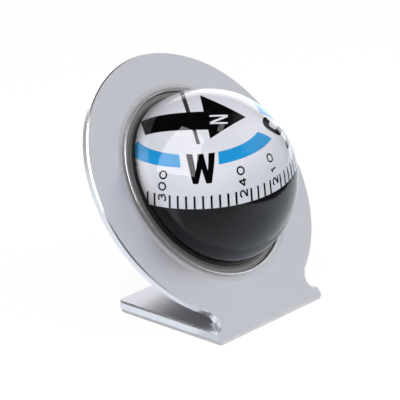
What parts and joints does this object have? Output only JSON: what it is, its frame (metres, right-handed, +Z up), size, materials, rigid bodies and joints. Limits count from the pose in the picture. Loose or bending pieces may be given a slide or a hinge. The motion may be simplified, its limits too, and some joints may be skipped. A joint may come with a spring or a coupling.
{
  "type": "dashboard ball compass",
  "caption": "Vehicle ball compass: clear fluid-filled dome with a floating black and white dial, held in a round silver face plate that leans back on a stick-down foot",
  "frame": {"origin": "the middle of the underside of the foot's self-adhesive pad, on the surface that the compass stands on", "axes": "+X across the object, to the right as the dial faces the viewer; +Y away from the viewer, to the rear edge of the foot; +Z up"},
  "size_m": [0.07, 0.0524, 0.0596],
  "materials": {
    "satin_silver": "satin silver die casting with a polished rim",
    "white_foam": "white self-adhesive foam",
    "black_foam": "black adhesive foam",
    "clear_acrylic": "clear moulded acrylic",
    "black_rubber": "black moulded rubber",
    "black_plastic": "glossy black plastic",
    "matt_black": "matt black plastic",
    "white_plastic": "white plastic with black and blue printing",
    "cream_foam": "cream closed-cell float",
    "steel": "bright steel",
    "brass": "plain brass",
    "magnet_iron": "grey magnet steel",
    "red_jewel": "polished red jewel"
  },
  "bodies": {
    "base": {"stand_plate": "satin_silver", "foot_pad": "white_foam", "mount_ring": "black_foam", "front_dome": "clear_acrylic", "dome_gasket": "black_rubber", "rear_bowl": "black_plastic", "clamp_ring": "matt_black", "clamp_screws": "steel", "diaphragm": "black_rubber", "diaphragm_cover": "matt_black", "cover_screws": "steel", "filler_screw": "brass", "filler_washer": "black_rubber", "yoke": "brass", "yoke_screws": "steel"},
    "gimbal": {"gimbal_ring": "brass", "gimbal_pins": "steel"},
    "bowl": {"inner_bowl": "black_plastic", "bridge": "matt_black", "bridge_screws": "steel", "ballast_ring": "brass", "pivot_post": "brass", "pivot_pin": "steel"},
    "card": {"dial_cap": "white_plastic", "dial_float": "cream_foam", "magnet_carrier": "brass", "magnets": "magnet_iron", "jewel_holder": "brass", "jewel_cup": "red_jewel"}
  },
  "joints": [
    {"name": "gimbal_pitch", "type": "hinge", "parent": "base", "child": "gimbal", "pos_m": [0, 0.00638, 0.03076], "axis": [1, 0, 0], "range_deg": [-21.1, 18.9]},
    {"name": "bowl_roll", "type": "hinge", "parent": "gimbal", "child": "bowl", "pos_m": [0, 0.00638, 0.03076], "axis": [0, 0.9998, 0.0192], "range_deg": [-10.2, 19.8]},
    {"name": "card_turn", "type": "hinge", "parent": "bowl", "child": "card", "pos_m": [0, 0.00638, 0.03076], "axis": [-0.0837, -0.0191, 0.9963], "continuous": true}
  ]
}
